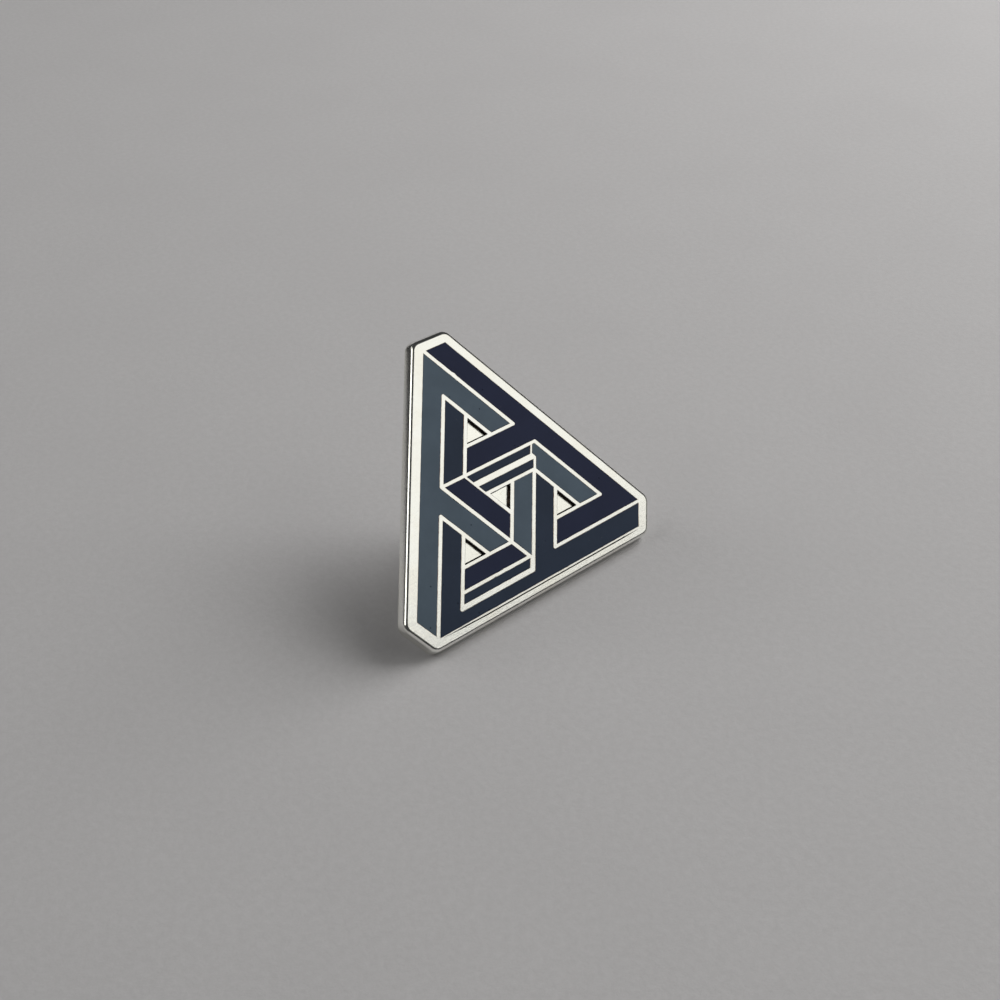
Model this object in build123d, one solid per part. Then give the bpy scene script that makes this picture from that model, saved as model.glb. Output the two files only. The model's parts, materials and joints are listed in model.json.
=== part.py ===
from build123d import *
import os
from math import asin, atan2, cos, degrees, radians, sqrt, tan

# Enamel pin on its butterfly clutch. The badge is drawn flat, face up (+Z), with the centre of
# its triangle at the origin and its long bottom edge towards -Y. It is then leaned back until
# the bottom edge of its back and the lower wing of its clutch both stand on the floor.

# ---- Driving sizes of the badge, mm ----
line_pitch = 2.388  # between neighbouring parallel lines of the lattice
window_height = 2.753  # altitude of the small triangle inside each lattice opening
slanted_line = 0.42  # width of the raised lines that follow the two slanted sides
level_line = 0.37  # width of the raised lines that follow the bottom side
rim_width = {"left": 1.23, "right": 1.1, "low": 1.11}  # bare metal border along each long side
corner_rim_width = {"left": 1.23, "right": 1.28, "low": 1.1}  # border at the corner opposite a side
corner_line_inset = 0.27  # enamel's end to the lattice point that the corner is cut at
plate_thickness = 1.3
corner_radius = 0.9  # rounding of the outline's corners
face_edge_radius = 0.42
wall_draft = 10.5  # degrees that the plate's wall slopes outwards towards its back
back_edge_radius = 0.2
enamel_depth = 0.55
window_depth = 0.9
line_end_radius = 0.19  # rounding where a raised line turns

# Bars and strips that break the lattice, as distances from its lines
lower_split_drop = 0.367
lower_bar_rise = 0.847
lower_bar_width = 0.553
upper_bar_width = 0.627
lower_strip_inset = 0.367
upper_strip_inset = 0.49
inner_strip_inset = 0.107
notch_inset = 0.254
notch_rise = 1.22

# ---- Driving sizes of the fixings behind it, mm ----
post_radius = 0.57
post_foot_radius = 0.75  # foot that tapers into the needle inside the solder
post_length = 8.0
post_point_length = 1.1
post_point_radius = 0.06
groove_depth = 0.2
head_radius = 0.4  # needle's free end, between its groove and its point
groove_width = 0.4
groove_from_tip = 1.9
solder_radius = 1.3
solder_height = 0.4
pip_radius = 0.45
pip_height = 0.9
pip_distance = 8.0
cup_gap = 0.1  # back of the badge to the clutch
cup_radius = 5.6
cup_thickness = 0.4
dish_radius = 2.1
dish_depth = 0.55
bore_clearance = 0.09
collar_clearance = 0.05
rolled_rim_radius = 4.7
rolled_rim_wall = 0.4
rolled_lip_width = 1.1
jaw_plate_clearance = 0.2
jaw_plate_thickness = 0.3
jaw_plate_gap = 0.2
lip_gap = 0.35
collar_radius = 1.2
collar_height = 1.5
collar_slot = 0.4
wing_thickness = 0.35
wing_root_offset = 1.9  # post axis to the middle of the fold
wing_fold_gap = 0.2
wing_riser = 1.1
wing_bend_radius = 0.7
wing_tip_run = 0.9
wing_tip_drop = 0.45
wing_tip_radius = 5.0  # post axis to the tip of a wing
wing_height = 5.79  # back of the badge to the middle of a wing's tip
wing_corner_radius = 1.1
wing_root_width = 3.8
wing_tab_width = 5.2

# ---- Lattice: each line is a side direction and its distance from the centre ----
OUTWARD = {"left": (-cos(radians(30)), 0.5), "right": (cos(radians(30)), 0.5), "low": (0.0, -1.0)}


def far(step):
    """Distance of the line that lies `step` pitches outside the window's corner triangle."""
    return 2 * window_height / 3 + step * line_pitch


def near(step):
    """Distance of the line that lies `step` pitches past the centre on the other side."""
    return -window_height / 3 - step * line_pitch


def half_line(side):
    return (level_line if side == "low" else slanted_line) / 2


def inner(side, distance):
    """The edge of a raised line that faces the centre of the badge."""
    return (side, distance - half_line(side))


def outer(side, distance):
    return (side, distance + half_line(side))


def crossing(first, second):
    """Where two straight edges meet."""
    (ax, ay), a = OUTWARD[first[0]], first[1]
    (bx, by), b = OUTWARD[second[0]], second[1]
    determinant = ax * by - ay * bx
    return ((a * by - b * ay) / determinant, (ax * b - bx * a) / determinant)


def corners(edges):
    return [crossing(edges[i - 1], edges[i]) for i in range(len(edges))]


enamel_corner = far(3) + far(2) - corner_line_inset  # centre to the enamel's end at a cut corner

L, R, B = "left", "right", "low"
lower_split = far(2) - lower_split_drop
lower_bar = far(2) + lower_bar_rise
upper_bar = (near(0) + near(1)) / 2


def corner_edge(side, distance=enamel_corner):
    """The short edge across the corner that lies opposite a side."""
    return (side, -distance)


cells = {
    "enamel_right_beam": [
        corner_edge(B), inner(R, far(3)), inner(B, far(2)), inner(L, near(2)), outer(B, far(1)),
        outer(R, far(2)), inner(B, near(1)), inner(L, far(1)), outer(B, near(2)), outer(R, far(2)),
    ],
    "enamel_left_beam": [
        inner(R, far(2)), inner(B, near(2)), outer(R, far(1)), outer(L, far(2)), inner(R, near(1)),
        inner(B, far(1)), outer(R, near(2)), outer(L, far(2)), corner_edge(R), inner(L, far(3)),
    ],
    "enamel_bottom_beam": [
        inner(L, far(2)), inner(R, near(2)), outer(L, far(1)), (B, lower_bar + lower_bar_width / 2),
        inner(L, near(1)), inner(R, far(1)), outer(L, near(2)), outer(B, far(2)), corner_edge(L),
        inner(B, far(3)),
    ],
    "enamel_left_side": [inner(R, far(1)), outer(L, far(1)), inner(B, near(1)), inner(L, far(2))],
    "enamel_right_side": [
        inner(R, far(2)), inner(B, far(1)), outer(R, far(1)), inner(L, near(1)),
        (R, far(1) + notch_rise), (L, near(1) + notch_inset), outer(B, near(1)),
    ],
    "enamel_bottom_side": [
        outer(B, far(1)), inner(R, near(1)), inner(B, lower_split), inner(L, far(1)),
    ],
    "enamel_inner_left": [inner(R, near(0)), outer(L, near(0)), outer(R, near(1)), outer(B, near(1))],
    "enamel_inner_right": [outer(B, near(0)), outer(L, near(1)), outer(R, near(1)), inner(L, near(0))],
    "enamel_lower_strip": [
        outer(B, lower_split), (L, near(1) + lower_strip_inset),
        (B, lower_bar - lower_bar_width / 2), inner(L, far(1)),
    ],
    "enamel_upper_strip": [
        outer(B, near(1)), (L, near(1) + upper_strip_inset),
        (B, upper_bar - upper_bar_width / 2), (R, near(0) + slanted_line / 8),
    ],
    "enamel_inner_strip": [
        (B, upper_bar + upper_bar_width / 2), (L, near(1) + inner_strip_inset),
        inner(B, near(0)), (R, near(0) + slanted_line / 8),
    ],
}

# Windows of bare metal: one at the middle and one inside each corner of the lattice
windows = [
    [inner(L, far(1)), inner(R, far(1)), inner(B, near(2))],
    [inner(L, far(1)), inner(B, far(1)), inner(R, near(2))],
    [inner(R, far(1)), inner(B, far(1)), inner(L, near(2))],
    [outer(L, near(0)), outer(R, near(0)), outer(B, near(0))],
]


def outline_face(edges, reflex_radius=0.0):
    """A flat face inside its edges, with its inward corners rounded."""
    points = corners(edges)
    face = make_face(Polyline(*points, close=True))
    turns = []
    for i, (x, y) in enumerate(points):
        ax, ay = points[i - 1]
        bx, by = points[(i + 1) % len(points)]
        turns.append((x - ax) * (by - y) - (y - ay) * (bx - x))
    winding = 1 if sum(turns) > 0 else -1
    inward = [Vector(*p, 0) for p, turn in zip(points, turns) if turn * winding < 0]
    rounded = [v for v in face.vertices() if any((Vector(*v) - p).length < 1e-6 for p in inward)]
    if rounded and reflex_radius > 0:
        face = fillet(rounded, reflex_radius)
    return face


def prism(face, low, high):
    return extrude(Pos(0, 0, low) * face, high - low, dir=(0, 0, 1))


# ---- Base plate and enamel ----


def rim_edge(side):
    """The outline's long edge beyond the last raised line of a side."""
    return (side, inner(side, far(3))[1] + rim_width[side])


def rim_corner(side):
    """The outline's short edge across the corner that lies opposite a side."""
    return corner_edge(side, enamel_corner + corner_rim_width[side])


long_edge = rim_edge(B)[1]
plate_edges = [
    rim_corner(B), rim_edge(R), rim_corner(L), rim_edge(B), rim_corner(R), rim_edge(L),
]
outline = outline_face(plate_edges)
outline = fillet(outline.vertices(), corner_radius)
base_plate = extrude(outline, plate_thickness, dir=(0, 0, -1), taper=-wall_draft)
base_plate = fillet(base_plate.edges().group_by(Axis.Z)[-1], face_edge_radius)
base_plate = fillet(base_plate.edges().group_by(Axis.Z)[0], back_edge_radius)

pieces = {}
for name, edges in cells.items():
    pieces[name] = prism(outline_face(edges, line_end_radius), -enamel_depth, 0)
    base_plate -= pieces[name]
for edges in windows:
    base_plate -= prism(outline_face(edges), -window_depth, 0)
pieces["base_plate"] = base_plate


# ---- Fixings behind the plate: heights are distances behind its back ----
def behind(height):
    return -plate_thickness - height


def turned(profile):
    """A ring or rod about the post's axis, from (radius, height) corners."""
    points = [(radius, 0, behind(height)) for radius, height in profile]
    return revolve(make_face(Polyline(*points, close=True)), Axis.Z)


groove_start = post_length - groove_from_tip - groove_width
groove_end = groove_start + groove_width
pieces["post"] = turned([
    (0, 0), (post_foot_radius, 0), (post_radius, solder_height), (post_radius, groove_start),
    (post_radius - groove_depth, groove_start + groove_width / 2), (head_radius, groove_end),
    (head_radius, post_length - post_point_length),
    (post_point_radius, post_length), (0, post_length),
])
solder_waist = post_foot_radius + (solder_radius - post_foot_radius) / 4
pieces["solder_fillet"] = turned([
    (post_foot_radius, 0), (solder_radius, 0), (solder_waist, solder_height / 2),
    (post_radius, solder_height),
])
pip = turned([(0, 0), (pip_radius, 0), (pip_radius / 3, pip_height), (0, pip_height)])
pieces["locating_pip"] = Pos(0, pip_distance, 0) * pip

# ---- Butterfly clutch, pushed home on the post ----
bore_radius = post_radius + bore_clearance
dish_floor = cup_gap + dish_depth
dish_flat = dish_radius - dish_depth
plate_low = dish_floor + cup_thickness + jaw_plate_gap
plate_high = plate_low + jaw_plate_thickness
lip_low = plate_high + lip_gap
rim_inside = rolled_rim_radius - rolled_rim_wall
pieces["clutch_cup"] = turned([
    (bore_radius, dish_floor), (dish_flat, dish_floor), (dish_radius, cup_gap), (cup_radius, cup_gap),
    (cup_radius, cup_gap + cup_thickness), (rolled_rim_radius, cup_gap + cup_thickness),
    (rolled_rim_radius, lip_low + rolled_rim_wall),
    (rolled_rim_radius - rolled_lip_width, lip_low + rolled_rim_wall),
    (rolled_rim_radius - rolled_lip_width, lip_low), (rim_inside, lip_low),
    (rim_inside, cup_gap + cup_thickness), (dish_radius + cup_thickness / 2, cup_gap + cup_thickness),
    (dish_flat + cup_thickness / 2, dish_floor + cup_thickness), (bore_radius, dish_floor + cup_thickness),
])

collar_bore = post_radius + collar_clearance
jaws = turned([
    (collar_bore, plate_low), (rim_inside - jaw_plate_clearance, plate_low),
    (rim_inside - jaw_plate_clearance, plate_high), (collar_radius, plate_high),
    (collar_radius, plate_low + collar_height), (collar_bore, plate_low + collar_height),
])
slot_height = collar_height - jaw_plate_thickness
slot = Box(2 * collar_radius + 1, collar_slot, slot_height)
pieces["clutch_jaws"] = jaws - Pos(0, 0, behind(plate_high + slot_height / 2)) * slot

# A wing is a bent strip: a riser from its fold, a flare and a finger tab with a round end
fold_height = plate_high + wing_fold_gap + wing_thickness / 2
tip_centre = wing_tip_radius - wing_thickness / 2
riser_top = fold_height + wing_riser
tab_start = (tip_centre - wing_tip_run, wing_height - wing_tip_drop)
bend_line = FilletPolyline(
    (0, -wing_root_offset, behind(fold_height)), (0, -wing_root_offset, behind(riser_top)),
    (0, -tab_start[0], behind(tab_start[1])), (0, -tip_centre, behind(wing_height)),
    radius=wing_bend_radius,
)
wing_section = make_face(offset(bend_line, wing_thickness / 2, kind=Kind.ARC, side=Side.BOTH))
wing_strip = extrude(wing_section, wing_tab_width / 2, dir=(1, 0, 0), both=True)
shoulder = riser_top + (wing_tab_width - wing_root_width) / 2
wing_outline = make_face(Polyline(
    (-wing_root_width / 2, behind(fold_height - wing_thickness)),
    (wing_root_width / 2, behind(fold_height - wing_thickness)),
    (wing_root_width / 2, behind(riser_top)), (wing_tab_width / 2, behind(shoulder)),
    (wing_tab_width / 2, behind(wing_height + wing_thickness)),
    (-wing_tab_width / 2, behind(wing_height + wing_thickness)),
    (-wing_tab_width / 2, behind(shoulder)), (-wing_root_width / 2, behind(riser_top)), close=True,
))
tab_corners = wing_outline.vertices().group_by(Axis.Y)[0]
wing_outline = fillet(tab_corners, wing_corner_radius)
wing_blank = extrude(Plane.XZ * wing_outline, 2 * wing_tip_radius, both=True)
wing = wing_strip & wing_blank
pieces["wing_lower"] = wing
pieces["wing_upper"] = Rot(0, 0, 180) * wing

# ---- Lean: the back's bottom edge and the lower wing's tip touch the same floor ----
back_spread = plate_thickness * tan(radians(wall_draft))
back_round_inset = back_edge_radius / tan(radians(90 - wall_draft) / 2)  # its centre, inside the outline
edge_reach = long_edge + back_spread - back_round_inset - tip_centre
edge_depth = wing_height + back_edge_radius
edge_span = sqrt(edge_reach**2 + edge_depth**2)
lean = atan2(edge_depth, edge_reach) + asin((wing_thickness / 2 - back_edge_radius) / edge_span)
leaned = {name: Rot(degrees(lean), 0, 0) * piece for name, piece in pieces.items()}
boxes = [piece.bounding_box() for piece in leaned.values()]
middle = [(min(b.min.X for b in boxes) + max(b.max.X for b in boxes)) / 2,
          (min(b.min.Y for b in boxes) + max(b.max.Y for b in boxes)) / 2]
floor = min(b.min.Z for b in boxes)
stand = Pos(-middle[0], -middle[1], -floor)

os.makedirs("parts", exist_ok=True)
for name, piece in leaned.items():
    placed = stand * piece
    placed.label = name
    export_step(placed, f"parts/{name}.step")
print(f"{len(leaned)} sub-parts, leaning {degrees(lean):.2f} degrees")
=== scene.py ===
import bpy
import bmesh
import json
import math
from mathutils import Matrix, Vector, geometry, noise


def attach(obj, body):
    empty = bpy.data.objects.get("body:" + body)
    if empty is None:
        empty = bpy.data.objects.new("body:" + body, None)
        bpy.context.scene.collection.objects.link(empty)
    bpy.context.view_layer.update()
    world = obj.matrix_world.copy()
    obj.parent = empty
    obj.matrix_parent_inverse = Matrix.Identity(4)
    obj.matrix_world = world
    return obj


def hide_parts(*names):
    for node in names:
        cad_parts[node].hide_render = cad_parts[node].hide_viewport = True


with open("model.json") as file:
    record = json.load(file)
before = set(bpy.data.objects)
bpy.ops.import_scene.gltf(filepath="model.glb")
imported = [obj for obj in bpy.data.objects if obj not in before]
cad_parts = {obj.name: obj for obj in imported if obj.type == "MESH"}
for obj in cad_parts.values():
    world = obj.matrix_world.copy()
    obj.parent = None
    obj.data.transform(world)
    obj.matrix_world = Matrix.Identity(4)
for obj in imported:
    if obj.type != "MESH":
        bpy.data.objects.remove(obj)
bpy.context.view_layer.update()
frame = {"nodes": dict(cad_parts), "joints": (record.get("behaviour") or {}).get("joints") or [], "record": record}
MM = 0.001

# ---- Where the badge lies in the frame ----
# The badge is flat: `across` runs along its long bottom edge, `up_plate` up its back and face,
# and `facing` out of its face, along the needle's axis.
joints = {joint["name"]: joint for joint in frame["joints"]}
facing = Vector(joints["badge_pull"]["axis"]).normalized()
across = Vector((1, 0, 0))
up_plate = facing.cross(across)
needle_point = Vector(joints["jaw_turn"]["pos_m"])
reaches = [v.co.dot(facing) for v in frame["nodes"]["base_plate"].data.vertices]
face_reach = max(reaches)
plate_thickness = face_reach - min(reaches)
face_centre = needle_point + facing * (face_reach - needle_point.dot(facing))


def placed(x, y, height):
    """A point of the frame, from its place on the badge: along the bottom edge, up and out of the face."""
    return face_centre + across * x + up_plate * y + facing * height


def flat(point):
    """The place on the badge of a point of the frame: the inverse of `placed`."""
    offset = point - face_centre
    return Vector((offset.dot(across), offset.dot(up_plate), offset.dot(facing)))


def node_points(node):
    return [flat(v.co) for v in frame["nodes"][node].data.vertices]


# ---- Shader expressions ----
class Shade:
    """A socket that can be used in arithmetic; each operation adds a Math node."""

    def __init__(self, finish, socket):
        self.finish = finish
        self.socket = socket

    def math(self, operation, first, second):
        return self.finish.make("ShaderNodeMath", {"operation": operation}, {0: first, 1: second})

    def __add__(self, other):
        return self.math("ADD", self, other)

    def __sub__(self, other):
        return self.math("SUBTRACT", self, other)

    def __rsub__(self, other):
        return self.math("SUBTRACT", other, self)

    def __mul__(self, other):
        return self.math("MULTIPLY", self, other)

    __radd__ = __add__
    __rmul__ = __mul__

    def over(self, low, high):
        """0 below low, 1 above high, smooth between."""
        return self.finish.make("ShaderNodeMapRange", {"interpolation_type": "SMOOTHSTEP"}, {
            "Value": self, "From Min": low, "From Max": high,
        })


class Finish:
    """One procedural material, built from a Principled shader."""

    def __init__(self, name, **constants):
        self.material = bpy.data.materials.new(name)
        self.material.use_nodes = True
        self.nodes = self.material.node_tree.nodes
        self.links = self.material.node_tree.links
        self.shader = self.nodes["Principled BSDF"]
        for socket, value in constants.items():
            self.shader.inputs[socket.replace("_", " ")].default_value = value

    def make(self, kind, settings, inputs, output=0):
        """Adds a node with its settings, and the values or links of its sockets."""
        node = self.nodes.new(kind)
        for key, value in settings.items():
            setattr(node, key, value)
        for key, value in inputs.items():
            if isinstance(value, Shade):
                self.links.new(value.socket, node.inputs[key])
            else:
                node.inputs[key].default_value = value
        return Shade(self, node.outputs[output])

    def position(self, scale=(1, 1, 1), turn=(0, 0, 0)):
        """Object coordinates in millimetres, optionally turned and stretched."""
        place = self.make("ShaderNodeTexCoord", {}, {}, "Object")
        return self.make("ShaderNodeMapping", {}, {
            "Vector": place, "Scale": [s / MM for s in scale], "Rotation": turn,
        })

    def noise(self, place, scale, detail=3, roughness=0.55):
        return self.make("ShaderNodeTexNoise", {}, {
            "Vector": place, "Scale": scale, "Detail": detail, "Roughness": roughness,
        })

    def specks(self, place, scale):
        """Distance from the nearest of many scattered points."""
        return self.make("ShaderNodeTexVoronoi", {}, {"Vector": place, "Scale": scale})

    def mix(self, factor, first, second):
        return self.make("ShaderNodeMix", {"data_type": "RGBA"}, {0: factor, 6: first, 7: second}, 2)

    def facing_share(self, direction):
        """How much a surface looks along a direction of the frame, from -1 to 1."""
        normal = self.make("ShaderNodeTexCoord", {}, {}, "Normal")
        return self.make("ShaderNodeVectorMath", {"operation": "DOT_PRODUCT"}, {
            0: normal, 1: direction,
        }, "Value")

    def bump(self, height, distance, strength, below=None):
        """A surface pushed out by `height`, on top of the bump `below`."""
        inputs = {"Height": height, "Distance": distance, "Strength": strength}
        if below is not None:
            inputs["Normal"] = below
        return self.make("ShaderNodeBump", {}, inputs)

    def feed(self, socket, value):
        self.links.new(value.socket, self.shader.inputs[socket])


def rgb(red, green, blue):
    return (red, green, blue, 1)


# ---- Finishes ----
def plated_metal():
    """Polished nickel plate: ivory-white, softly rubbed, with warm tarnish in scattered patches."""
    finish = Finish("nickel_plate", Metallic=1.0)
    place = finish.position()
    cloud = finish.noise(place, 0.35, 4)
    mottle = finish.noise(place, 2.6, 5, 0.7)
    scratch_a = finish.noise(finish.position((0.25, 9, 9), (0.3, 0.2, 0.5)), 1.6, 4, 0.6)
    scratch_b = finish.noise(finish.position((8, 0.3, 8), (0.1, 0.5, 0.9)), 1.4, 4, 0.6)
    bright = finish.mix(cloud.over(0.35, 0.7), rgb(0.93, 0.93, 0.89), rgb(0.90, 0.885, 0.82))
    stained = finish.mix(mottle.over(0.60, 0.86) * 0.35, bright, rgb(0.66, 0.55, 0.42))
    finish.feed("Base Color", stained)
    rubbed = scratch_a.over(0.5, 0.75) * 0.05 + scratch_b.over(0.5, 0.75) * 0.05
    back = finish.facing_share(-facing).over(0.85, 0.97)
    finish.feed("Roughness", 0.13 + mottle * 0.07 + rubbed + back * 0.16)
    grain = finish.noise(place, 9.0, 3, 0.6)
    blasted = finish.noise(place, 5.5, 2, 0.5)
    lines = finish.bump(scratch_a + scratch_b, 0.004 * MM, 0.5)
    waves = finish.bump(mottle * 0.6 + grain * 0.15, 0.02 * MM, 0.35, lines)
    finish.feed("Normal", finish.bump(blasted * back, 0.09 * MM, 0.9, waves))
    return finish.material


def window_wall_metal():
    """The unpolished walls of the windows: near-black painted shade of the recesses, with brown residue from the
    plating bath in patches.
    """
    finish = Finish("window_wall_shade_residue", Metallic=0.9)
    place = finish.position()
    shade_and_residue_mottle = finish.noise(place, 3.2, 5, 0.65)
    patch = finish.noise(place, 1.1, 3)
    # The near-black is painted shade inside the recessed walls; the brown is residue.
    dark = finish.mix(shade_and_residue_mottle.over(0.45, 0.75), rgb(0.012, 0.010, 0.009), rgb(0.10, 0.062, 0.038))
    finish.feed("Base Color", finish.mix(patch.over(0.62, 0.8) * 0.5, dark, rgb(0.30, 0.20, 0.13)))
    finish.feed("Roughness", 0.3 + shade_and_residue_mottle * 0.3)
    finish.feed("Normal", finish.bump(shade_and_residue_mottle, 0.04 * MM, 0.7))
    return finish.material


def window_floor_metal():
    """The bare struck floors of the windows: satin bright, with patches of brown residue."""
    finish = Finish("struck_floor", Metallic=1.0)
    place = finish.position()
    stain = finish.noise(place, 1.7, 5, 0.7).over(0.56, 0.8) * 0.5
    grain = finish.noise(place, 12.0, 3, 0.6)
    finish.feed("Base Color", finish.mix(stain, rgb(0.97, 0.965, 0.90), rgb(0.62, 0.46, 0.32)))
    finish.feed("Roughness", 0.15 + grain * 0.1)
    finish.feed("Normal", finish.bump(grain, 0.01 * MM, 0.4))
    return finish.material


def seam_metal():
    """The rubbed edge of a raised line, where the plate is thin and warmer metal shows."""
    finish = Finish("rubbed_edge", Metallic=1.0)
    wear = finish.noise(finish.position(), 1.3, 5, 0.65)
    warmer = wear.over(0.42, 0.62)
    finish.feed("Base Color", finish.mix(warmer, rgb(0.80, 0.76, 0.68), rgb(0.34, 0.17, 0.08)))
    finish.feed("Roughness", 0.28 + wear * 0.2)
    finish.feed("Normal", finish.bump(wear, 0.01 * MM, 0.5))
    return finish.material


def enamel(name, deep, light):
    """Hard enamel, ground flush and polished: even glass with faint haze, rub marks and pinholes."""
    finish = Finish(name, Specular_IOR_Level=0.12, IOR=1.5)
    place = finish.position()
    haze = finish.noise(place, 0.22, 4, 0.6)
    fine = finish.noise(place, 6.0, 4, 0.7)
    colour = finish.mix(haze.over(0.3, 0.72), rgb(*deep), rgb(*light))
    pinhole = 1 - finish.specks(place, 0.75).over(0.035, 0.075)
    dusty = 1 - finish.specks(finish.position((1.7, 1.1, 1.3), (0.4, 0.9, 0.2)), 0.9).over(0.02, 0.05)
    colour = finish.mix(fine.over(0.5, 0.9) * 0.25, colour, rgb(*(1.25 * c + 0.004 for c in light)))
    colour = finish.mix(pinhole * 0.6, colour, rgb(0.004, 0.004, 0.006))
    finish.feed("Base Color", finish.mix(dusty * 0.35, colour, rgb(0.25, 0.22, 0.20)))
    scratch = finish.noise(finish.position((0.3, 7, 7), (0.7, 0.1, 0.4)), 1.5, 4, 0.6).over(0.55, 0.8)
    finish.feed("Roughness", 0.13 + fine * 0.08 + scratch * 0.06)
    dimple = finish.bump(1 - pinhole, 0.02 * MM, 0.6)
    finish.feed("Normal", finish.bump(fine + scratch, 0.0015 * MM, 0.5, dimple))
    return finish.material


def turned_steel(name, base, dull, rough):
    """Plated steel of the fixings, with fine draw lines and a few dull patches."""
    finish = Finish(name, Metallic=1.0)
    patch = finish.noise(finish.position(), 0.9, 4, 0.6)
    lines = finish.noise(finish.position((10, 1, 1), (0.4, 0, 0)), 1.8, 3, 0.6)
    finish.feed("Base Color", finish.mix(patch.over(0.4, 0.75), rgb(*base), rgb(*dull)))
    finish.feed("Roughness", rough + patch * 0.12 + lines * 0.06)
    finish.feed("Normal", finish.bump(lines + patch * 0.5, 0.01 * MM, 0.5))
    return finish.material


def paper_surface():
    """Matt pale card that the pin stands on."""
    finish = Finish("pale_card", Roughness=0.85, Specular_IOR_Level=0.3)
    place = finish.position()
    fibre = finish.noise(place, 1.4, 6, 0.7)
    cloud = finish.noise(place, 0.06, 3)
    tone = finish.mix(fibre.over(0.3, 0.75), rgb(0.575, 0.567, 0.565), rgb(0.615, 0.607, 0.606))
    finish.feed("Base Color", finish.mix(cloud.over(0.3, 0.8) * 0.25, tone, rgb(0.54, 0.53, 0.53)))
    finish.feed("Normal", finish.bump(fibre, 0.10 * MM, 0.35))
    return finish.material


PLATE_FINISHES = [plated_metal(), seam_metal(), window_wall_metal(), window_floor_metal()]
# SHADE_AND_RESIDUE is near-black painted shade for recessed walls, with patches of brown residue
POLISHED, RUBBED, SHADE_AND_RESIDUE, STRUCK = range(len(PLATE_FINISHES))
ENAMEL_TONES = {  # each enamel's deepest and lightest tone
    "navy_enamel": ((0.0185, 0.0245, 0.0590), (0.0215, 0.0285, 0.0680)),
    "slate_enamel": ((0.0275, 0.0410, 0.0700), (0.0320, 0.0475, 0.0810)),
    "blue_grey_enamel": ((0.1010, 0.1390, 0.1780), (0.1180, 0.1620, 0.2070)),
}
ENAMELS = {name: enamel(name, *tones) for name, tones in ENAMEL_TONES.items()}
STEEL = turned_steel("post_steel", (0.74, 0.73, 0.70), (0.55, 0.53, 0.50), 0.22)
SOLDER = turned_steel("solder", (0.50, 0.49, 0.48), (0.34, 0.33, 0.32), 0.42)
CLUTCH = turned_steel("clutch_nickel", (0.80, 0.79, 0.76), (0.62, 0.60, 0.56), 0.16)
SPRING = turned_steel("spring_steel", (0.72, 0.71, 0.69), (0.56, 0.54, 0.50), 0.24)


# ---- Outlines of the cells, windows and rim, taken from the frame's own solids ----
WELD = 0.001 * MM
FACE_LEVEL = 0.004 * MM  # vertices this close to the face's plane lie in it
POINT_SPACING = 0.02 * MM
STRAIGHT_TURN = 0.004  # a smaller turn, in radians, is no corner
LONG_EDGE = 1.0 * MM
CORNER_STEPS = 10


def face_outlines(node):
    """The closed outlines of a node's areas that lie in the badge's face."""
    mesh = bmesh.new()
    mesh.from_mesh(frame["nodes"][node].data)
    bmesh.ops.remove_doubles(mesh, verts=mesh.verts, dist=WELD)
    level = {v for v in mesh.verts if abs(flat(v.co).z) < FACE_LEVEL}
    faces = {f for f in mesh.faces if all(v in level for v in f.verts) and f.normal.dot(facing) > 0.9}
    ahead = {}
    for face in faces:
        for loop in face.loops:
            if sum(f in faces for f in loop.edge.link_faces) == 1:
                ahead[loop.vert.index] = (loop.vert, loop.link_loop_next.vert.index)
    outlines = []
    while ahead:
        outline, here = [], next(iter(ahead))
        while here in ahead:
            vert, following = ahead.pop(here)
            outline.append(flat(vert.co).to_2d())
            here = following
        outlines.append(outline)
    mesh.free()
    return outlines


def signed_area(outline):
    return sum(a.x * b.y - b.x * a.y for a, b in zip(outline, outline[1:] + outline[:1])) / 2


def anticlockwise(outline):
    return outline if signed_area(outline) > 0 else outline[::-1]


def without_straights(outline):
    """Leaves out points that lie on a straight run."""
    kept = []
    spaced = [p for i, p in enumerate(outline) if (p - outline[i - 1]).length > POINT_SPACING]
    for i, point in enumerate(spaced):
        back, ahead = spaced[i - 1], spaced[(i + 1) % len(spaced)]
        turn = (point - back).normalized().cross((ahead - point).normalized())
        if abs(turn) > STRAIGHT_TURN:
            kept.append(point)
    return kept


def rounded(outline, radius):
    """The outline's long straight edges, joined by smooth arcs."""
    runs = [(a, b) for a, b in zip(outline, outline[1:] + outline[:1]) if (b - a).length > LONG_EDGE]
    points = []
    for (a, b), (c, d) in zip(runs, runs[1:] + runs[:1]):
        incoming, outgoing = (b - a).normalized(), (d - c).normalized()
        corner = b + incoming * ((c - b).cross(outgoing) / incoming.cross(outgoing))
        turn = math.asin(incoming.cross(outgoing))
        if incoming.dot(outgoing) < 0:
            turn = math.pi - turn
        start = corner - incoming * radius * math.tan(turn / 2)
        centre = start + Vector((-incoming.y, incoming.x)) * radius
        for i in range(CORNER_STEPS + 1):
            spoke = start - centre
            spoke.rotate(Matrix.Rotation(turn * i / CORNER_STEPS, 2))
            points.append(centre + spoke)
    return points


def stepped(outline, step):
    """The outline with its long runs divided into steps."""
    points = []
    for here, ahead in zip(outline, outline[1:] + outline[:1]):
        count = max(1, round((ahead - here).length / step))
        points += [here.lerp(ahead, i / count) for i in range(count)]
    return points


def grown(outline, distance):
    """The outline moved outwards by a distance, with mitred corners."""
    moved = []
    for i, point in enumerate(outline):
        before = (point - outline[i - 1]).normalized()
        after = (outline[(i + 1) % len(outline)] - point).normalized()
        normal_a = Vector((before.y, -before.x))
        normal_b = Vector((after.y, -after.x))
        share = max(0.25, 1 + normal_a.dot(normal_b))
        moved.append(point + (normal_a + normal_b) * distance / share)
    return moved


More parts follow.
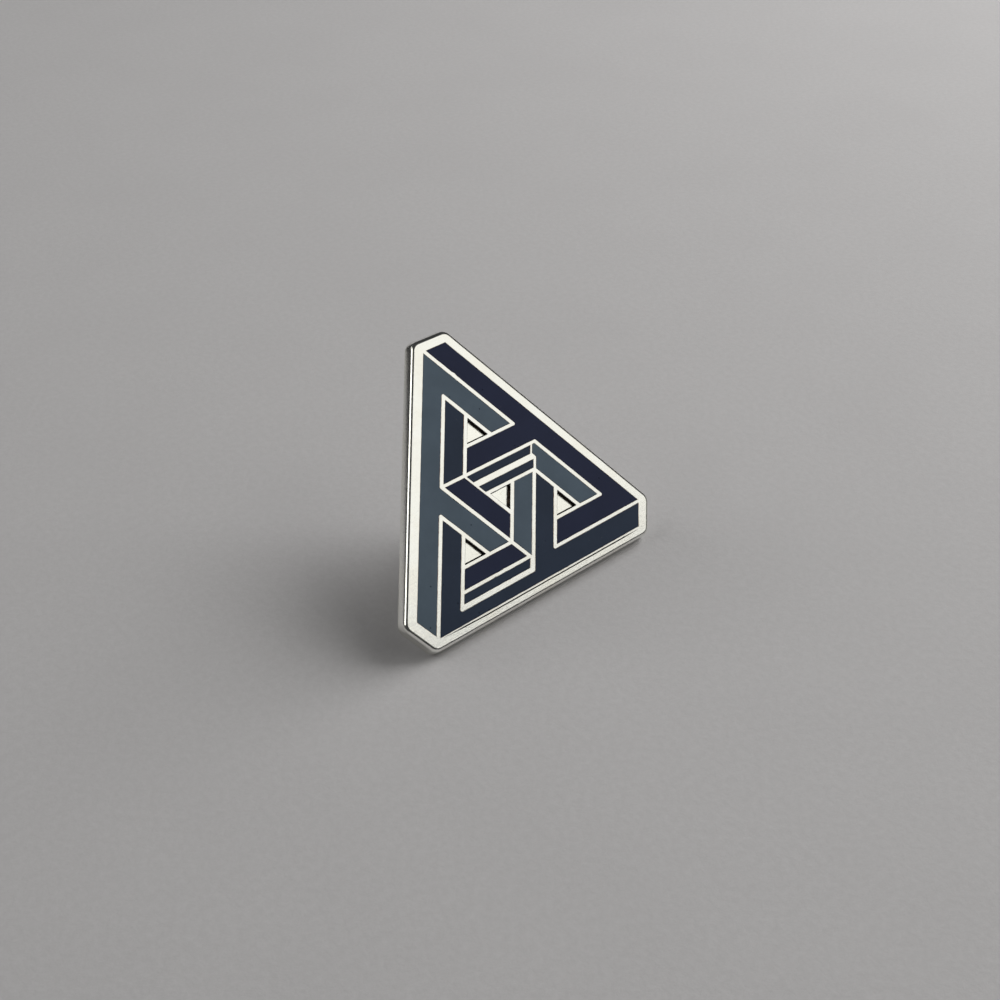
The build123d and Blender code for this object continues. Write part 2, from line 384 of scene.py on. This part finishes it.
enamel_nodes = sorted(n for n in frame["nodes"] if n.startswith("enamel_"))
slots = {part["node"]: part["material_slot"] for part in frame["record"]["subparts"]}
bodies = frame["record"]["behaviour"]["bodies"]
body_of = {node: body for body, nodes in bodies.items() for node in nodes}
cell_outlines = {node: anticlockwise(without_straights(face_outlines(node)[0])) for node in enamel_nodes}
enamel_depth = -min(p.z for p in node_points(enamel_nodes[0]))
plate_outlines = sorted(face_outlines("base_plate"), key=lambda loop: abs(signed_area(loop)))
rim = anticlockwise(without_straights(plate_outlines[-1]))
wall_reach = min(p.y for p in rim) - min(p.y for p in node_points("base_plate"))


def is_cell(loop):
    """Whether an opening of the face is as large as one of the enamelled cells."""
    area = abs(signed_area(loop))
    return any(abs(area - signed_area(cell)) < 0.02 * area for cell in cell_outlines.values())


window_loops = [anticlockwise(without_straights(loop)) for loop in plate_outlines[:-1] if not is_cell(loop)]

# ---- Hand finishing: the raised lines' edges wave a little, and carry small burrs and nicks ----
FINISHING_STEP = 0.16 * MM
WAVER = 0.012 * MM
WAVES_PER_MM = 1.3
BURRS = (  # place on the badge and reach in millimetres, and push
    ((0.83, 12.36), 0.30, (0.05, 0.10)), ((-2.70, -2.26), 0.22, (0.05, -0.05)),
    ((-3.37, -6.21), 0.28, (0.0, 0.07)), ((-4.66, -6.33), 0.25, (0.02, 0.06)),
    ((-3.25, -7.30), 0.25, (-0.02, -0.06)), ((9.4, -6.1), 0.2, (0.03, 0.05)),
)


def hand_finished(outline, seed):
    """The outline as a hand leaves it; the same seed gives the same waves."""
    points = []
    for p in stepped(outline, FINISHING_STEP):
        at = p / MM
        wave = [noise.noise((at.x * WAVES_PER_MM, at.y * WAVES_PER_MM, seed + shift)) for shift in (0, 7.7)]
        moved = p + WAVER * Vector(wave)
        for place, reach, push in BURRS:
            near_burr = max(0.0, 1 - (at - Vector(place)).length / reach)
            moved += Vector(push) * near_burr * MM
        points.append(moved)
    return points


# ---- Meshes ----
def made_object(mesh, name, materials, crease=None):
    """An object of the scene from a bmesh, smooth but for the edges that turn more than `crease`."""
    data = bpy.data.meshes.new(name)
    mesh.to_mesh(data)
    mesh.free()
    for material in materials:
        data.materials.append(material)
    if crease is not None:
        data.polygons.foreach_set("use_smooth", [True] * len(data.polygons))
        data.set_sharp_from_angle(angle=crease)
    made = bpy.data.objects.new(name, data)
    bpy.context.scene.collection.objects.link(made)
    return made


def rounding(radius, steps, turn=math.pi / 2):
    """Distances and heights of an arc that turns from the face down into a wall."""
    angles = (turn * i / steps for i in range(1, steps + 1))
    return [(radius * math.sin(a), -radius * (1 - math.cos(a))) for a in angles]


class Casting:
    """Collects the rings and caps of one solid that is laid out on the badge."""

    CREASE = math.radians(38)

    def __init__(self):
        self.mesh = bmesh.new()

    def ring(self, outline, height):
        return [self.mesh.verts.new(placed(p.x, p.y, height)) for p in outline]

    def band(self, first, second, material=0):
        """Faces between two rings of as many points."""
        count = len(first)
        for i in range(count):
            j = (i + 1) % count
            face = self.mesh.faces.new((first[i], first[j], second[j], second[i]))
            face.material_index = material

    def cap(self, rings, material=0):
        """Fills the area inside the first ring and outside the others."""
        verts = [v for ring in rings for v in ring]
        polygons = [[flat(v.co) / MM for v in ring] for ring in rings]
        for triple in geometry.tessellate_polygon(polygons):
            face = self.mesh.faces.new([verts[i] for i in triple])
            face.material_index = material

    def edge(self, outline, profile, materials=()):
        """Rings along a profile of (distance outwards, height); returns the first and last."""
        rings = [self.ring(grown(outline, out), height) for out, height in profile]
        for i, (first, second) in enumerate(zip(rings, rings[1:])):
            self.band(first, second, materials[i] if i < len(materials) else 0)
        return rings[0], rings[-1]

    def finish(self, name, materials):
        bmesh.ops.recalc_face_normals(self.mesh, faces=self.mesh.faces)
        return made_object(self.mesh, name, materials, self.CREASE)


# ---- Badge: struck plate ----
SUPPORT = 0.02 * MM  # flat strip beside a rounded edge, which keeps the face's shading flat
LINE_ROUND = 0.035 * MM
WINDOW_DEPTH = 0.4 * MM
WINDOW_FOOT = 0.08 * MM  # chamfer between a window's wall and its floor
WINDOW_SEED = 50  # keeps the windows' waves apart from the cells'
RIM_CORNER = 0.72 * MM
RIM_STEP = 0.8 * MM

# The wall slopes outwards to the back; the face's rounding follows from how far the plate reaches
WALL_SLOPE = 10.5  # degrees
WALL_TURN = math.radians(90 - WALL_SLOPE)  # from the face's outward direction to the wall's
FACE_ROUND_STEPS = 9
BACK_ROUND = 0.2 * MM
BACK_ROUND_STEPS = 5
slope_run = math.cos(WALL_TURN) * (plate_thickness - BACK_ROUND)
wall_run = (wall_reach - BACK_ROUND) * math.sin(WALL_TURN) - slope_run + BACK_ROUND
face_round = wall_run / (1 - math.cos(WALL_TURN))


def wall_profile():
    """Distances outwards and heights of the rim: face rounding, sloped wall, back rounding."""
    profile = rounding(face_round, FACE_ROUND_STEPS, WALL_TURN)
    centre = wall_reach - BACK_ROUND
    for i in range(BACK_ROUND_STEPS + 1):
        a = WALL_TURN + (math.pi - WALL_TURN) * i / BACK_ROUND_STEPS
        profile.append((centre + BACK_ROUND * math.sin(a), BACK_ROUND * (1 + math.cos(a)) - plate_thickness))
    profile.append((centre - SUPPORT, -plate_thickness))
    return profile


def line_shoulder():
    """Distances outwards and heights of a raised line's rounded edge, from the face downwards."""
    arc = [(0, 0)] + rounding(LINE_ROUND, 3)
    return [(LINE_ROUND + SUPPORT, 0)] + [(LINE_ROUND - out, height) for out, height in arc]


GROOVE_WIDTH = 0.12 * MM
GROOVE_DEPTH = 0.05 * MM
GROOVE_POINTS = 60
GROOVE_START = 0.5 * MM  # how far inside the lowest cells' corners the groove starts and ends
GROOVE_END = 0.2 * MM
GROOVE_GAP = 0.14 * MM  # from the lowest cells, at its start
GROOVE_DRIFT = 0.10 * MM  # how much the gap grows over the first fifth
GROOVE_WAVE = 0.012 * MM
GROOVE_TAPER = 6  # points over which each end narrows
GROOVE_TIP = 0.15  # width left at its ends, as a share


def rim_groove():
    """The hairline left by the engraving tool just inside the rim of the long bottom edge."""
    lowest = min(p.y for cell in cell_outlines.values() for p in cell)
    along = [p.x for cell in cell_outlines.values() for p in cell if p.y < lowest + 0.05 * MM]
    start, end = min(along) + GROOVE_START, max(along) - GROOVE_END
    lower, upper = [], []
    for i in range(GROOVE_POINTS + 1):
        share = i / GROOVE_POINTS
        x = start + (end - start) * share
        away = GROOVE_GAP + GROOVE_DRIFT * min(1.0, share * 5)
        centre = Vector((x, lowest - away + GROOVE_WAVE * noise.noise((x / MM * 0.7, 0, 0))))
        nearer_end = min(i, GROOVE_POINTS - i)
        half = Vector((0, GROOVE_WIDTH / 2 * min(1.0, GROOVE_TIP + nearer_end / GROOVE_TAPER)))
        lower.append(centre - half)
        upper.append(centre + half)
    return lower + upper[::-1]


def struck_plate():
    """The closed solid: face with its cells, windows and groove, sloped wall and flat back."""
    casting = Casting()
    openings = []

    def sink(outline, profile, walls, floor):
        top, bottom = casting.edge(outline, profile, walls)
        casting.cap([bottom], floor)
        openings.append(top)

    cell_profile = line_shoulder() + [(0, -enamel_depth)]
    for number, cell in enumerate(cell_outlines.values()):
        sink(hand_finished(cell, number), cell_profile, [POLISHED] + [RUBBED] * 4, RUBBED)
    window_profile = line_shoulder() + [(0, WINDOW_FOOT - WINDOW_DEPTH), (-WINDOW_FOOT, -WINDOW_DEPTH)]
    for number, window in enumerate(window_loops):
        outline = hand_finished(window, WINDOW_SEED + number)
        # The window walls take the near-black painted shade, with brown residue patches.
        sink(outline, window_profile, [POLISHED] * 3 + [SHADE_AND_RESIDUE] * 3, STRUCK)
    # The groove's walls and floor are coloured with the same near-black painted shade.
    sink(rim_groove(), [(0, 0), (-0.25 * GROOVE_WIDTH, -GROOVE_DEPTH)], [SHADE_AND_RESIDUE], SHADE_AND_RESIDUE)
    border = stepped(rounded(rim, RIM_CORNER), RIM_STEP)
    top, back = casting.edge(border, [(-SUPPORT, 0), (0, 0)] + wall_profile())
    casting.cap([top] + openings)
    casting.cap([back])
    return casting.finish("struck_plate", PLATE_FINISHES)


plate = struck_plate()
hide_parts("base_plate")
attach(plate, "badge")

# ---- Badge: enamel fills, each ground almost flush with the raised lines round it ----
ENAMEL_SUNK = 0.012 * MM
ENAMEL_ROUND = 0.02 * MM


def enamel_fill(node, seed):
    """The block of enamel in one cell; its outline follows the cell's own waves and burrs."""
    fill = Casting()
    arc = [(-SUPPORT, 0), (0, 0)] + rounding(ENAMEL_ROUND, 2)
    profile = [(out - ENAMEL_ROUND, height - ENAMEL_SUNK) for out, height in arc] + [(0, -enamel_depth)]
    top, bottom = fill.edge(hand_finished(cell_outlines[node], seed), profile)
    fill.cap([top])
    fill.cap([bottom])
    return fill.finish(node.replace("enamel_", "fill_"), [ENAMELS[slots[node]]])


for number, node in enumerate(cell_outlines):
    piece = enamel_fill(node, number)
    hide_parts(node)
    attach(piece, "badge")

# ---- Fixings: the frame's own solids with their pressed and turned edges eased ----
SHARP_EDGE = math.radians(32)


def eased_piece(node, name, ease, material):
    """A copy of a node's solid whose sharp edges are rounded over."""
    mesh = bmesh.new()
    mesh.from_mesh(frame["nodes"][node].data)
    bmesh.ops.remove_doubles(mesh, verts=mesh.verts, dist=0.002 * MM)
    bmesh.ops.dissolve_limit(mesh, angle_limit=math.radians(0.8), verts=mesh.verts, edges=mesh.edges)
    sharp = [e for e in mesh.edges if len(e.link_faces) == 2 and e.calc_face_angle() > SHARP_EDGE]
    bmesh.ops.bevel(mesh, geom=sharp, offset=ease, offset_type="OFFSET", segments=3, profile=0.5,
                    affect="EDGES", clamp_overlap=True)
    bmesh.ops.remove_doubles(mesh, verts=mesh.verts, dist=0.0005 * MM)
    bmesh.ops.triangulate(mesh, faces=[f for f in mesh.faces if len(f.verts) > 4])
    bmesh.ops.recalc_face_normals(mesh, faces=mesh.faces)
    return made_object(mesh, name, [material], SHARP_EDGE)


for node, name, ease, material in (
    ("post", "needle", 0.02, STEEL), ("solder_fillet", "solder_bead", 0.08, SOLDER),
    ("locating_pip", "anti_turn_pip", 0.04, STEEL), ("clutch_cup", "pressed_cup", 0.06, CLUTCH),
    ("clutch_jaws", "spring_jaws", 0.05, SPRING), ("wing_lower", "lower_wing_strip", 0.1, SPRING),
    ("wing_upper", "upper_wing_strip", 0.1, SPRING),
):
    piece = eased_piece(node, name, ease * MM, material)
    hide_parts(node)
    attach(piece, body_of[node])

# ---- Floor ----
FLOOR_HALF = 1.2
floor_mesh = bmesh.new()
bmesh.ops.create_grid(floor_mesh, x_segments=8, y_segments=8, size=FLOOR_HALF)
floor = made_object(floor_mesh, "floor", [paper_surface()])

# ---- Light and camera ----
WARM = (1.0, 0.995, 0.95)
NEUTRAL = (1.0, 0.99, 0.985)
ROOM_COLOUR = (0.96, 0.97, 1.0, 1)
ROOM_STRENGTH = 0.045


def standing(place, side, high, back):
    """The matrix of a lamp or camera at a place, from its right, its top and what is behind it."""
    return Matrix.Translation(place) @ Matrix((side, high, back)).transposed().to_4x4()


def soft_light(name, towards, distance, size, level, raised=0.0, aside=0.0, mirrored=True, matt=True):
    """A soft panel that looks at the badge from a direction, as bright as `level`.

    `raised` and `aside` move the panel up and across. One that isn't `mirrored` doesn't show in
    polished metal, and one that isn't `matt` shows only there.
    """
    back = Vector(towards).normalized()
    high = (up_plate - back * up_plate.dot(back)).normalized()
    side = high.cross(back)
    data = bpy.data.lights.new(name, "AREA")
    data.shape = "RECTANGLE"
    data.size, data.size_y = size
    data.energy = level * math.pi * size[0] * size[1]
    data.color = WARM if mirrored else NEUTRAL
    light = bpy.data.objects.new(name, data)
    place = face_centre + back * distance + high * raised + side * aside
    light.matrix_world = standing(place, side, high, back)
    light.visible_glossy = mirrored
    light.visible_diffuse = matt
    bpy.context.scene.collection.objects.link(light)


soft_light("face_panel", (0.52, -0.688, 0.506), 0.45, (0.30, 0.222), 0.98, raised=0.057, aside=-0.022)
soft_light("edge_panel", (-0.68, 0.16, 0.71), 0.45, (0.26, 0.30), 2.2, matt=False)
soft_light("rear_panel", (-0.35, 0.75, 0.56), 0.50, (0.20, 0.16), 1.0, matt=False)
soft_light("window", (0.83, -0.06, 0.55), 0.54, (0.45, 0.45), 4.1, mirrored=False)
soft_light("far_window", (-0.55, 0.62, 0.55), 0.62, (0.46, 0.36), 1.8, mirrored=False)

world = bpy.data.worlds.new("room")
bpy.context.scene.world = world
world.use_nodes = True
room = world.node_tree.nodes["Background"]
room.inputs["Color"].default_value = ROOM_COLOUR
room.inputs["Strength"].default_value = ROOM_STRENGTH

CAMERA_PLACE = (-74.3712, -85.979, 85.3694)  # millimetres from the middle of the badge's face
CAMERA_RIGHT = (0.7585, -0.6518, 0.0)
CAMERA_AHEAD = (0.5200, 0.6053, -0.6030)
CAMERA_LENS = 54.4  # millimetres, on a sensor 36 mm wide

camera_data = bpy.data.cameras.new("camera")
camera_data.lens = CAMERA_LENS
camera_data.sensor_width = 36.0
camera_data.clip_start = 0.005
camera_data.clip_end = 20.0
camera = bpy.data.objects.new("camera", camera_data)
right = Vector(CAMERA_RIGHT).normalized()
ahead = Vector(CAMERA_AHEAD).normalized()
camera.matrix_world = standing(face_centre + MM * Vector(CAMERA_PLACE), right, right.cross(ahead), -ahead)
bpy.context.scene.collection.objects.link(camera)
bpy.context.scene.camera = camera
bpy.context.scene.view_settings.view_transform = "Standard"
